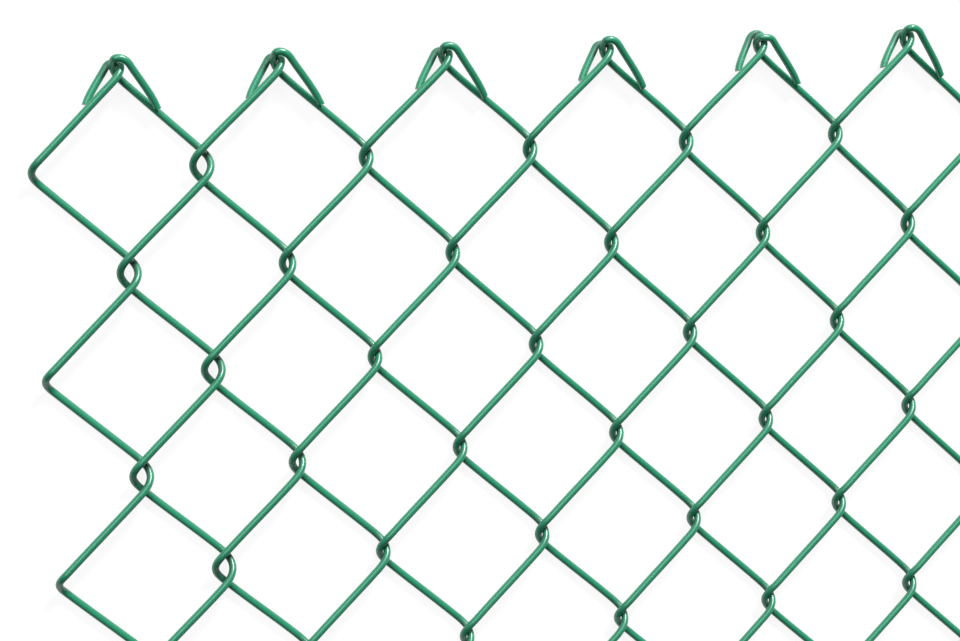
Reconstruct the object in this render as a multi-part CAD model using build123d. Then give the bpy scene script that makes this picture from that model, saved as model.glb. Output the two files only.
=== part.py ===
"""Flat cut length of plastic-coated chain link fence fabric, 36 inches high.

Every wire is one flattened spiral that zigzags down the fabric's height.  Its runs that rise
to the right lie in the front plane and its runs that fall to the right in the back plane.  At
each turn between them it hooks round the turn of the wire beside it.  Neighbours are knuckled
together in pairs along both edges: each end goes over the other wire and comes back down
beside its own run.

X runs along the fence, Y up its height and Z out of its front.  The fabric lies on its back,
with the origin at the middle of its underside.
"""
import os
from math import asin, atan, atan2, copysign, cos, hypot, pi, radians, sin, sqrt, tan

from build123d import *

# Driving dimensions in millimetres and degrees
WIRE = 3.05          # wire with its plastic coat, over its flats
MESH = 54.0          # between the centres of two opposite sides of a diamond
RUN_ANGLE = 43.5     # from the fence's length to a run
DEPTH = 11.0         # thickness of the fabric
LINK_PLAY = 1.2      # free play between two hooked turns
END_SLACK = (3.8, 4.0, 1.0)   # extra play in the first links, which nothing pulls tight
WIRES = 24           # an even number, so that every wire has a partner at the edges
DIAMONDS = 11        # full diamonds in the height
KNUCKLE_TAIL = 22.0  # length of its own run that a knuckled end covers
TAIL_ASIDE = 1.2     # how far the cut face stands out beside its run
TAIL_BOW = 0.5       # outward bow of the end between its top and its cut face
TOUCH_GAP = 0.2      # kept between the corners of wires that are bent against each other

SIDES = 6

# One spiral.  At this slope of the turns, a six-sided wire has its flats level on every run
run_angle = radians(RUN_ANGLE)
turn_angle = 2 * atan(tan(pi / (2 * SIDES)) / tan((pi / 2 - run_angle) / 2))
lift = DEPTH - WIRE                      # from the centre of a back run to that of a front run
turn_rise = lift / tan(turn_angle)       # height that a turn takes
overlap = WIRE + LINK_PLAY               # how far two spirals reach into each other
pitch = (MESH / cos(run_angle) - turn_rise) / (2 * tan(run_angle)) - overlap / 2
spiral_width = pitch + overlap           # between the centres of its left and right turns
row_rise = spiral_width * tan(run_angle) + turn_rise
edge_y = DIAMONDS * row_rise             # the edge links, above and below the middle
back = WIRE / 2
front = back + lift

# One knuckle: the end goes over its partner's turn, then down to its own run
END_SPANS = 4                            # straight pieces from the cut face to the first run
corner_width = WIRE / cos(pi / SIDES)
clear_step = corner_width + TOUCH_GAP
tail_inset = (corner_width - WIRE) / 2   # keeps the turned corners of the end in the thickness
run_top = edge_y - turn_rise / 2
turn_top = edge_y + turn_rise / 2
over_turn = run_top + clear_step / sin(turn_angle)


def reach(link):
    """Distance between the two turns that hook at a link; link 0 is the first wire's right side."""
    return overlap + (END_SLACK[link] if link < len(END_SLACK) else 0)


def upper_knuckle(turn_x, inward, partner, near, far):
    """Corners of an upper end, from its cut face to the top of its run.

    turn_x is the X of its turn, inward the side to which its run falls away, partner the
    distance to the other wire's turn, near the depth of its run and far that of its tail.
    """
    foot_x = turn_x + inward * (KNUCKLE_TAIL * cos(run_angle) + TAIL_ASIDE * sin(run_angle))
    foot_y = run_top - KNUCKLE_TAIL * sin(run_angle) + TAIL_ASIDE * cos(run_angle)
    foot_z = near + copysign(sqrt(clear_step ** 2 - TAIL_ASIDE ** 2), far - near)

    # The tail's line from its foot just clears the partner's run where that meets its turn
    partner_x = turn_x + inward * partner
    aside, drop = abs(foot_x - partner_x), run_top - foot_y
    tail_angle = atan2(drop, aside) + asin(clear_step / hypot(drop, aside))
    top_x = foot_x - inward * (over_turn - foot_y) / tan(tail_angle)
    top_z = far + copysign(tail_inset, near - far)

    bow_x = (foot_x + top_x) / 2 + inward * TAIL_BOW * sin(tail_angle)
    bow_y = (foot_y + over_turn) / 2 + TAIL_BOW * cos(tail_angle)
    return [
        (foot_x, foot_y, foot_z),
        (bow_x, bow_y, (foot_z + top_z) / 2),
        (top_x, over_turn, top_z),
        (turn_x, turn_top, top_z),
        (turn_x, run_top, near),
    ]


def turned_over(corners):
    """The same end at the lower edge, turned half a turn about the fabric's middle along X."""
    return [(x, -y, front + back - z) for x, y, z in reversed(corners)]


def wire_corners(left, number):
    """Corners of a wire's centre line from its upper cut face to its lower one."""
    right = left + spiral_width
    if number % 2 == 0:
        end = upper_knuckle(right, -1, reach(number), front, back)
        turns = ((left, front, back), (right, back, front))
    else:
        end = upper_knuckle(left, 1, reach(number - 1), back, front)
        turns = ((right, back, front), (left, front, back))
    corners = list(end)
    for row in range(1, 2 * DIAMONDS):
        x, before, after = turns[(row - 1) % 2]
        y = edge_y - row * row_rise
        corners.append((x, y + turn_rise / 2, before))
        corners.append((x, y - turn_rise / 2, after))
    return corners + turned_over(end)


def cut_face(corners):
    """Plane across the upper cut face, turned so that the flats are level on the first run.

    The level direction across the run is carried back round each corner above it.
    """
    places = [Vector(*corner) for corner in corners[:END_SPANS + 2]]
    ways = [(after - before).normalized() for before, after in zip(places, places[1:])]
    ways.reverse()
    across = ways[0].cross(Vector(0, 0, 1))
    for way, upper_way in zip(ways, ways[1:]):
        corner_axis = Axis((0, 0, 0), way.cross(upper_way))
        across = across.rotate(corner_axis, way.get_angle(upper_way))
    return Plane(origin=places[0], x_dir=across, z_dir=ways[-1])


def wire(left, number):
    """One bent wire, six-sided and mitred at its corners."""
    corners = wire_corners(left, number)
    section = cut_face(corners) * RegularPolygon(WIRE / 2, SIDES, major_radius=False)
    return sweep(section, path=Polyline(*corners), transition=Transition.RIGHT)


os.makedirs("parts", exist_ok=True)

lefts = [0.0]
for link in range(WIRES - 1):
    lefts.append(lefts[-1] + spiral_width - reach(link))
middle = (lefts[-1] + spiral_width) / 2

for number, left in enumerate(lefts):
    export_step(wire(left - middle, number), f"parts/wire_{number + 1:02d}.step")
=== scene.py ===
from math import pi, radians, tan
from random import Random

import bpy
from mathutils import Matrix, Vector


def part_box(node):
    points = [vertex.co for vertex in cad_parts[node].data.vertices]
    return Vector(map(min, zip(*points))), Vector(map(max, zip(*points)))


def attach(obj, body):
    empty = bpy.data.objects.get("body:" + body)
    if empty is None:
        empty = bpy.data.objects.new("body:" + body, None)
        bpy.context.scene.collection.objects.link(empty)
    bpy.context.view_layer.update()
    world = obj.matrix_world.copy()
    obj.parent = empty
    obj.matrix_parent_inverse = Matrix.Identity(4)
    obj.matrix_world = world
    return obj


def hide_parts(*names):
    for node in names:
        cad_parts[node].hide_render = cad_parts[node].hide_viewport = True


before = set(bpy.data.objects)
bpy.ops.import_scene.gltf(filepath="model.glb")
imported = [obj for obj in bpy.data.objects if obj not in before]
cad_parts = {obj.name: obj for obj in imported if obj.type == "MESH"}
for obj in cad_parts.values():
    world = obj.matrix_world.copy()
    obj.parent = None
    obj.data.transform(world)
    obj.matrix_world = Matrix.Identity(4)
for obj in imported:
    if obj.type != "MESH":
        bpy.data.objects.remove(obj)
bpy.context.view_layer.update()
bpy.ops.object.select_all(action="DESELECT")


# The zigzag of a wire.  Drawn steel wire with a green plastic coat is bent on a turning blade
# into a flat spiral: its runs lie in a front and a back plane, and at each turn it hooks round
# the turn of the wire before it.  Each wire is wound into the last one as it comes off the blade.
WIRE_RADIUS = 0.001525
RUN_SLOPE = tan(radians(43.5))
BACK_PLANE = 0.001525
FRONT_PLANE = 0.009475
MIDDLE_PLANE = (BACK_PLANE + FRONT_PLANE) / 2
ROWS = 22                  # steps from the knuckles of the upper edge to those of the lower one
ROW_RISE = 0.041186
EDGE_Y = ROWS / 2 * ROW_RISE
HOOKED_REACH = 0.0053      # how far from its tip a hooked turn leaves its run
FREE_REACH = 0.0038        # the same at the sharper turns that nothing pulls on
REACH_SPREAD = 0.0003
TIP_SPREAD = 0.00008       # how unevenly the turns come off the blade
DRAWN_IN = 0.00050         # how much the pull of its neighbour closes a hooked turn
ROUND_PULL = 0.5523        # handle length that makes a quarter turn round
wires = sorted(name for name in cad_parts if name.startswith("wire_"))
boxes = [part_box(name) for name in wires]
lefts = [low[0] + WIRE_RADIUS for low, high in boxes]
rights = [high[0] - WIRE_RADIUS for low, high in boxes]
chance = Random(36)


class Bend:
    """A point on a wire's line, with the way the wire comes in and the way it goes out."""

    def __init__(self, place, coming, going):
        self.place = Vector(place)
        self.coming = Vector(coming)
        self.going = Vector(going)


def turn(tip_x, tip_y, side, above, below, reach):
    """A half turn, followed downwards; side is 1 for a right turn and -1 for a left one."""
    drop = reach * RUN_SLOPE
    outwards = Vector((side * reach, -drop, 0)) * ROUND_PULL
    through = Vector((0, -drop, below - MIDDLE_PLANE)) * ROUND_PULL
    inwards = Vector((-side * reach, -drop, 0)) * ROUND_PULL
    foot_x = tip_x - side * reach
    return [
        Bend((foot_x, tip_y + drop * pi / 2, above), outwards, outwards),
        Bend((tip_x, tip_y, MIDDLE_PLANE), through, through),
        Bend((foot_x, tip_y - drop * pi / 2, below), inwards, inwards),
    ]


def zigzag(number):
    """All the turns of one wire between its knuckles, followed downwards."""
    right_first = number % 2 == 0
    bends = []
    for row in range(1, ROWS):
        at_right = (row % 2 == 0) == right_first
        side = 1 if at_right else -1
        free = (number == 0 and not at_right) or (number == len(wires) - 1 and at_right)
        reach = (FREE_REACH if free else HOOKED_REACH) + chance.uniform(-REACH_SPREAD, REACH_SPREAD)
        drawn_in = chance.uniform(0, TIP_SPREAD) + (0 if free else DRAWN_IN)
        tip_x = (rights[number] if at_right else lefts[number]) - side * drawn_in
        above, below = (BACK_PLANE, FRONT_PLANE) if at_right else (FRONT_PLANE, BACK_PLANE)
        bends += turn(tip_x, EDGE_Y - row * ROW_RISE, side, above, below, reach)
    return bends


# The knuckles.  At the fabric's two edges neighbouring wires are closed off in pairs: the end of
# each goes over the turn of the other in one narrow arch and comes down in the other plane,
# where it is pressed on to its own run and cropped.
PRESSED = 0.0031           # between the two turns, which the knuckling machine pulls together
TURN_DROP = 0.0010         # below the edge, where the turn under the arch is widest
KNUCKLE_REACH = 0.0048     # from the tip of that turn to where its run begins
RUN_START = 0.0083         # the same, below the edge
ON_TOP = (0.0021, 0.0026)  # the crown above the edge, and the shoulder's drop from it
UNDER = (0.0001, 0.0016)
CROWN_ASIDE = 0.0002
CROWN_SINK = 0.0001        # how far the crown and the shoulder lie inside the tail's plane
SHOULDER_SINK = 0.0004
LEFT_END = (0.0036, 0.0112)      # from the middle of the pair to the shoulder and the cut face
RIGHT_END = (0.0045, 0.0160)
RUN_DROP = 0.0045          # below the edge, where the run's line passes the middle of the pair
TAIL_DEPTH = 0.0033        # between the line of the tail's end and that of its run
CROWN_SPREAD = 0.0004      # how unevenly the ends are closed and cropped
SHOULDER_SPREAD = 0.0003
CUT_SPREAD = 0.0012
BESIDE_SPREAD = 0.0006
CROWN_PULL = 0.0017        # how widely the wire is bent over the crown and round the turn
TURN_PULL = 0.0022
TAIL_PULL = 1 / 4          # the same at the shoulder and the cut, as a share of the tail
ARCH_PULL = 1 / 11
TAIL_BULGE = (0.0007, 0.0004)
LEFT_ON_TOP_EVERY = 6      # once in so many pairs, the left wire's end lies on top
FIRST_LEFT_ON_TOP = 4      # counted from 0


def knuckle(middle_x, inward, run_plane, tail_plane, on_top):
    """An upper end, followed from its cut face down to its first run."""
    to_tail = 1 if tail_plane > run_plane else -1
    crown_rise, shoulder_drop = ON_TOP if on_top else UNDER
    crown_y = EDGE_Y + crown_rise - chance.uniform(0, CROWN_SPREAD)
    crown = Vector((middle_x + inward * CROWN_ASIDE, crown_y, tail_plane - to_tail * CROWN_SINK))
    shoulder_aside, cut_aside = LEFT_END if inward < 0 else RIGHT_END
    shoulder_aside += chance.uniform(-SHOULDER_SPREAD, SHOULDER_SPREAD)
    shoulder = Vector((middle_x + inward * shoulder_aside, crown_y - shoulder_drop,
                       tail_plane - to_tail * SHOULDER_SINK))
    cut_aside += chance.uniform(-CUT_SPREAD, CUT_SPREAD)
    beside = chance.uniform(0, BESIDE_SPREAD)
    cut = Vector((middle_x + inward * (cut_aside + beside),
                  EDGE_Y - RUN_DROP - cut_aside * RUN_SLOPE + beside,
                  run_plane + to_tail * TAIL_DEPTH))
    tip = Vector((middle_x - inward * PRESSED / 2, EDGE_Y - TURN_DROP, MIDDLE_PLANE))
    start = Vector((tip.x + inward * KNUCKLE_REACH, EDGE_Y - RUN_START, run_plane))
    up_tail = shoulder - cut
    bulged = up_tail * TAIL_PULL + Vector((inward * TAIL_BULGE[0], TAIL_BULGE[1], 0))
    over = Vector((-inward * CROWN_PULL, 0, 0))
    down_turn = Vector((0, -TURN_PULL, (run_plane - MIDDLE_PLANE) * ROUND_PULL))
    down_run = Vector((inward, -RUN_SLOPE, 0)) * KNUCKLE_REACH * ROUND_PULL
    return [
        Bend(cut, bulged, bulged),
        Bend(shoulder, up_tail * TAIL_PULL, up_tail * ARCH_PULL),
        Bend(crown, over, over),
        Bend(tip, down_turn, down_turn),
        Bend(start, down_run, down_run),
    ]


def paired_end(number):
    """The upper end of one wire, closed over the turn of its partner in the pair."""
    left_on_top = number // 2 % LEFT_ON_TOP_EVERY == FIRST_LEFT_ON_TOP
    if number % 2 == 0:
        middle_x = (rights[number] + lefts[number + 1]) / 2
        return knuckle(middle_x, -1, FRONT_PLANE, BACK_PLANE, left_on_top)
    middle_x = (lefts[number] + rights[number - 1]) / 2
    return knuckle(middle_x, 1, BACK_PLANE, FRONT_PLANE, not left_on_top)


def turned_over(bends):
    """The same kind of end at the lower edge: half a turn about the middle line along the fence."""
    def over(vector):
        return Vector((vector.x, -vector.y, -vector.z))

    lift = Vector((0, 0, 2 * MIDDLE_PLANE))
    return [Bend(over(bend.place) + lift, -over(bend.going), -over(bend.coming))
            for bend in reversed(bends)]


# The coated wires.  A wire is 1.45 m long and 3.05 mm thick over its plastic coat, which is fused
# on to the steel before the bending and is glossy and a little uneven.  Cropping bares the steel
# core at both ends.  All of them are alike but for their ends and for how the bending went.
LONG_SPAN = 0.02           # past which the span between two bends is a run
LONG_PULL = 1 / 3          # as a share of the span, which makes a straight run bow gently
STEPS_PER_SPAN = 7
SECTION_STEPS = 5
COAT = 0.00042             # thickness of the plastic round the steel
NEAR_THE_END = WIRE_RADIUS * 1.1
CROP_ANGLES = (14, 30)     # degrees that a cropped face is off square
CORE_STANDS_OUT = 0.00012
CORE_EDGE = 0.0001
SHARP_EDGE = 40            # degrees, past which an edge isn't shaded smooth
DIRT_AND_SHADE_RADIUS = 0.0105       # from the middle of a link, where the painted shade and dirt in it begin to show
DIRT_AND_SHADE_FADE = 0.006
DIRT_AND_SHADE_FACING = 0.6          # how far round a wire the painted shade and dirt reach, away from the link


def handle(way, span):
    """The pull of a bend on one side: as given at a turn, and a share of the span on a run."""
    return way.normalized() * span.length * LONG_PULL if span.length > LONG_SPAN else way


def drawn_wire(name, bends):
    """The wire's line drawn as a curve, given its round section and made a mesh whose ends are still
    open.
    """
    bpy.ops.curve.primitive_bezier_curve_add(location=(0, 0, 0))
    piece = bpy.context.object
    piece.name = name
    points = piece.data.splines[0].bezier_points
    points.add(len(bends) - len(points))
    spans = [after.place - before.place for before, after in zip(bends, bends[1:])]
    for place, (point, bend) in enumerate(zip(points, bends)):
        point.handle_left_type = point.handle_right_type = "FREE"
        point.co = bend.place
        point.handle_left = bend.place - handle(bend.coming, spans[max(place - 1, 0)])
        point.handle_right = bend.place + handle(bend.going, spans[min(place, len(spans) - 1)])
    piece.data.resolution_u = STEPS_PER_SPAN
    piece.data.bevel_depth = WIRE_RADIUS
    piece.data.bevel_resolution = SECTION_STEPS
    bpy.ops.object.convert(target="MESH")
    return piece


def crop(piece, end):
    """Closes one end of the tube with a slanting cropped face and bares the steel core in it."""
    bpy.ops.object.mode_set(mode="EDIT")
    bpy.ops.mesh.select_mode(type="VERT")
    bpy.ops.mesh.select_all(action="DESELECT")
    bpy.ops.object.mode_set(mode="OBJECT")
    for vertex in piece.data.vertices:
        vertex.select = (vertex.co - end).length < NEAR_THE_END
    slant = radians(chance.uniform(*CROP_ANGLES)) * chance.choice((-1, 1))
    bpy.ops.object.mode_set(mode="EDIT")
    bpy.ops.mesh.edge_face_add()
    bpy.ops.transform.rotate(value=slant, orient_axis="Z", center_override=end)
    bpy.ops.mesh.inset(thickness=COAT)
    piece.active_material_index = 1
    bpy.ops.object.material_slot_assign()
    bpy.ops.mesh.inset(thickness=CORE_EDGE, depth=CORE_STANDS_OUT)
    bpy.ops.mesh.select_all(action="SELECT")
    bpy.ops.mesh.normals_make_consistent(inside=False)
    bpy.ops.object.mode_set(mode="OBJECT")


# This closeness is painted into the coat's colour as shade, with some dirt, where a wire lies against
# its neighbour in a link.
def mark_nestled(piece, number):
    """Stores how closely each point of the wire lies in a link, against its neighbour."""
    mesh = piece.data
    nestled = mesh.attributes.new("nestled", "FLOAT", "POINT")
    centre_left = (rights[number - 1] + lefts[number]) / 2 if number else None
    centre_right = (rights[number] + lefts[number + 1]) / 2 if number + 1 < len(wires) else None
    middle = (lefts[number] + rights[number]) / 2
    right_rows = number % 2
    for vertex, value in zip(mesh.vertices, nestled.data):
        row = round((EDGE_Y - vertex.co.y) / ROW_RISE)
        centre_x = centre_right if vertex.co.x > middle else centre_left
        if centre_x is None or (row % 2 == right_rows) != (vertex.co.x > middle):
            continue
        to_link = Vector((centre_x, EDGE_Y - row * ROW_RISE, MIDDLE_PLANE)) - vertex.co
        near = min(max((DIRT_AND_SHADE_RADIUS - to_link.length) / DIRT_AND_SHADE_FADE, 0), 1)
        facing = min(max(DIRT_AND_SHADE_FACING + vertex.normal.dot(to_link.normalized()), 0), 1)
        value.value = near * facing


def by_name(sockets):
    """A node's sockets under names that tell like ones apart, with _ for each space."""
    return {socket.identifier.replace(" ", "_"): socket for socket in sockets}


class Graph:
    """The nodes of one material, joined by plain expressions on their sockets."""

    def __init__(self, name):
        self.material = bpy.data.materials.new(name)
        self.material.use_nodes = True
        self.tree = self.material.node_tree
        self.shader = self.tree.nodes["Principled BSDF"]

    def node(self, kind, settings=None, output=None, **values):
        """Adds a node: its settings first, then the values or links of its sockets."""
        made = self.tree.nodes.new("ShaderNode" + kind)
        for name, value in (settings or {}).items():
            setattr(made, name, value)
        self.fill(made, values)
        return Link(self, made.outputs[0] if output is None else by_name(made.outputs)[output])

    def fill(self, made, values):
        """Gives the sockets of a node their values or links."""
        sockets = by_name(made.inputs)
        for name, value in values.items():
            if isinstance(value, Link):
                self.tree.links.new(value.socket, sockets[name])
            else:
                sockets[name].default_value = value

    def mix(self, colour, other, share):
        """A colour that goes over to the other one by a share."""
        return self.node("Mix", {"data_type": "RGBA"}, "Result_Color",
                         Factor_Float=share, A_Color=colour, B_Color=other)

    def finish(self, **values):
        self.fill(self.shader, values)


class Link:
    """One socket, with the arithmetic that adds Math nodes to it."""

    def __init__(self, graph, socket):
        self.graph, self.socket = graph, socket

    def math(self, operation, other):
        return self.graph.node("Math", {"operation": operation}, Value=self, Value_001=other)

    def __add__(self, other):
        return self.math("ADD", other)

    __radd__ = __add__

    def __mul__(self, other):
        return self.math("MULTIPLY", other)

    __rmul__ = __mul__


GREEN = (0.022, 0.230, 0.114, 1)
BLUER_GREEN = (0.026, 0.262, 0.146, 1)
# A nearly black green, painted as shade and dirt where a wire lies in a link against its neighbour.
GRIME_AND_SHADE = (0.006, 0.040, 0.022, 1)
CLEAN_STEEL = (0.62, 0.63, 0.62, 1)
DULL_STEEL = (0.36, 0.35, 0.33, 1)

coat = Graph("green_plastic_coat")
at = coat.node("TexCoord", output="Object")
patches = coat.node("TexNoise", Vector=at, Scale=38.0, Detail=3.0, Roughness=0.55)
specks = coat.node("TexNoise", Vector=at, Scale=620.0, Detail=3.0, Roughness=0.6)
ripple = coat.node("TexNoise", Vector=at, Scale=260.0, Detail=1.0, Roughness=0.5)
nestled = coat.node("Attribute", {"attribute_name": "nestled"}, "Fac")
green = coat.mix(GREEN, BLUER_GREEN, patches)
# Painted shade, with some dirt: the coat darkens where the wire lies in a link against its neighbour.
shaded_and_grimy = nestled * (0.55 + 0.5 * specks)
coat.finish(
    Base_Color=coat.mix(green, GRIME_AND_SHADE, shaded_and_grimy * 0.95),
    Roughness=0.20 + 0.10 * patches + 0.06 * specks + 0.30 * nestled,
    Specular_IOR_Level=0.7,
    Normal=coat.node("Bump", Height=ripple + 0.08 * specks, Strength=0.25, Distance=0.00005),
)

steel = Graph("bare_steel_core")
at = steel.node("TexCoord", output="Object")
grain = steel.node("TexNoise", Vector=at, Scale=2400.0, Detail=3.0, Roughness=0.6)
steel.finish(
    Base_Color=steel.mix(CLEAN_STEEL, DULL_STEEL, grain),
    Metallic=0.85,
    Roughness=0.32 + 0.25 * grain,
    Normal=steel.node("Bump", Height=grain, Strength=0.4, Distance=0.00004),
)

for number, name in enumerate(wires):
    line = paired_end(number) + zigzag(number) + turned_over(paired_end(number))
    piece = drawn_wire("coated_" + name, line)
    piece.data.materials.append(coat.material)
    piece.data.materials.append(steel.material)
    crop(piece, line[0].place)
    crop(piece, line[-1].place)
    bpy.ops.object.shade_smooth_by_angle(angle=radians(SHARP_EDGE))
    mark_nestled(piece, number)
    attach(piece, "root")
    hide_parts(name)
    bpy.ops.object.select_all(action="DESELECT")


# The floor that the cut length lies on: plain white paper with a fine fibre.  It shows white by
# its own glow, and its dark colour keeps only a little of the fabric's shadow.
FLOOR_SIZE = 14
BELOW_THE_WIRES = 0.0001
FLOOR_GLOW = 0.88
PAPER = (0.15, 0.15, 0.15, 1)
FIBRE = (0.14, 0.14, 0.14, 1)
WHITE = (1, 1, 1, 1)
bpy.ops.mesh.primitive_plane_add(size=FLOOR_SIZE, location=(0, 0, -BELOW_THE_WIRES))
floor = bpy.context.object
floor.name = "floor"
paper = Graph("white_paper")
at = paper.node("TexCoord", output="Object")
fibres = paper.node("TexNoise", Vector=at, Scale=90.0, Detail=2.0)
paper.finish(Base_Color=paper.mix(PAPER, FIBRE, fibres), Roughness=0.9)
seen = (paper.node("LightPath", output="Is_Camera_Ray") + paper.node("LightPath", output="Is_Glossy_Ray")
        + paper.node("LightPath", output="Is_Transmission_Ray"))
glow = paper.node("Emission", Color=WHITE, Strength=seen * FLOOR_GLOW)
lit = Link(paper, paper.shader.outputs["BSDF"])
paper.fill(paper.tree.nodes["Material Output"],
           {"Surface": paper.node("AddShader", Shader=lit, Shader_001=glow)})
floor.data.materials.append(paper.material)


# The light of a plain studio: a small soft box low beyond the upper edge, a wide one high on the
# left that draws a pale streak along the front runs, and a faint white world round them.
WORLD_STRENGTH = 0.03
VIEW_MIDDLE = Vector((-0.24, 0.27, 0))
world = bpy.data.worlds.new("studio")
bpy.context.scene.world = world
world.use_nodes = True
world.node_tree.nodes["Background"].inputs["Color"].default_value = WHITE
world.node_tree.nodes["Background"].inputs["Strength"].default_value = WORLD_STRENGTH

for name, aside, width, length, energy in (
    ("small_soft_box", (1.15, 2.85, 1.70), 0.80, 0.80, 170),
    ("wide_soft_box", (-1.10, 1.20, 2.15), 3.00, 1.50, 48),
):
    bpy.ops.object.light_add(type="AREA", location=VIEW_MIDDLE + Vector(aside))
    lamp = bpy.context.object
    lamp.name = name
    lamp.data.shape = "RECTANGLE"
    lamp.data.size = width
    lamp.data.size_y = length
    lamp.data.energy = energy
    lamp.rotation_euler = (VIEW_MIDDLE - lamp.location).to_track_quat("-Z", "Y").to_euler()


# The camera, which looks down at the upper left corner of the fabric at the photograph's angle.
# Its place and turn are the best fit to the photograph's links for a square fabric.
CAMERA_PLACE = (-0.4730, 0.4622, 0.7994)
CAMERA_TURN = (radians(-7.77), radians(-16.71), radians(-2.11))
bpy.ops.object.camera_add(location=CAMERA_PLACE, rotation=CAMERA_TURN)
camera = bpy.context.object
camera.data.lens = 75.0
camera.data.sensor_width = 36.0
camera.data.clip_start = 0.01
bpy.context.scene.camera = camera
bpy.context.scene.view_settings.view_transform = "Standard"
